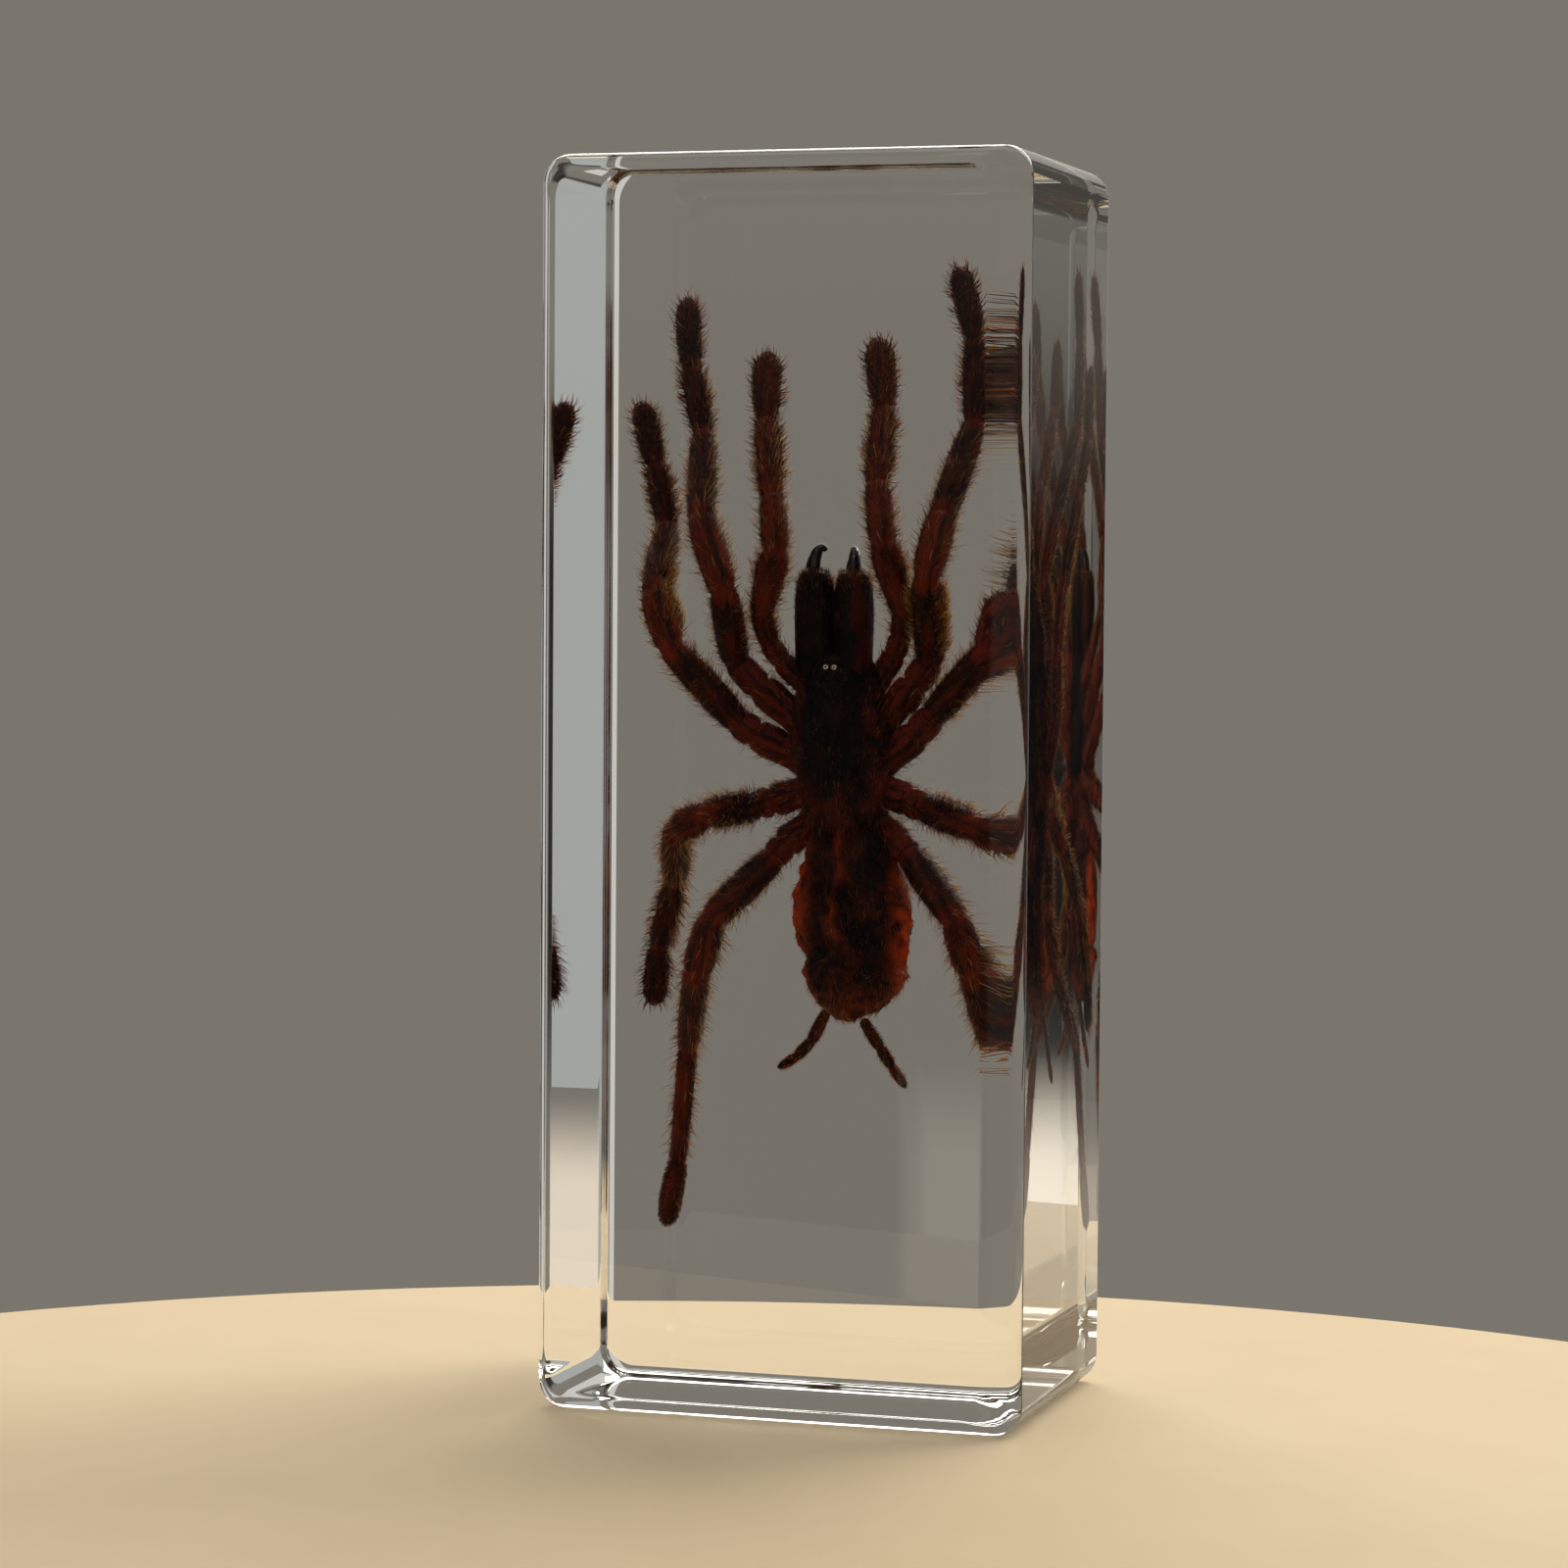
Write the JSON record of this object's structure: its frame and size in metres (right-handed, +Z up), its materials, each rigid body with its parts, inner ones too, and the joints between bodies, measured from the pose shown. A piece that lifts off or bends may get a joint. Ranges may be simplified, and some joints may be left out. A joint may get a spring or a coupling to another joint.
{
  "type": "tarantula in resin block",
  "caption": "Dried tarantula with spread legs sealed in a clear upright resin block with softly rolled edges, a desk specimen or paperweight.",
  "frame": {"origin": "centre of the block's flat foot, on the surface that it stands on", "axes": "+Z up along the block's height and towards the spider's head, +X to the right of a viewer facing the spider's back, +Y away from that viewer"},
  "size_m": [0.044, 0.03, 0.11],
  "materials": {
    "clear_resin": "polished, clear",
    "dark_shell": "satin, dry chitin",
    "leg_shell": "satin, dry chitin with bristles",
    "abdomen_skin": "wrinkled dry skin",
    "fang": "glossy"
  },
  "bodies": {
    "root": {"resin_front": "clear_resin", "resin_back": "clear_resin", "head_shield": "dark_shell", "jaw_left": "dark_shell", "jaw_right": "dark_shell", "fang_left": "fang", "fang_right": "fang", "abdomen": "abdomen_skin", "pedipalp_left": "leg_shell", "pedipalp_right": "leg_shell", "leg_1_left": "leg_shell", "leg_2_left": "leg_shell", "leg_3_left": "leg_shell", "leg_4_left": "leg_shell", "leg_1_right": "leg_shell", "leg_2_right": "leg_shell", "leg_3_right": "leg_shell", "leg_4_right": "leg_shell", "spinneret_left": "leg_shell", "spinneret_right": "leg_shell"}
  },
  "joints": []
}
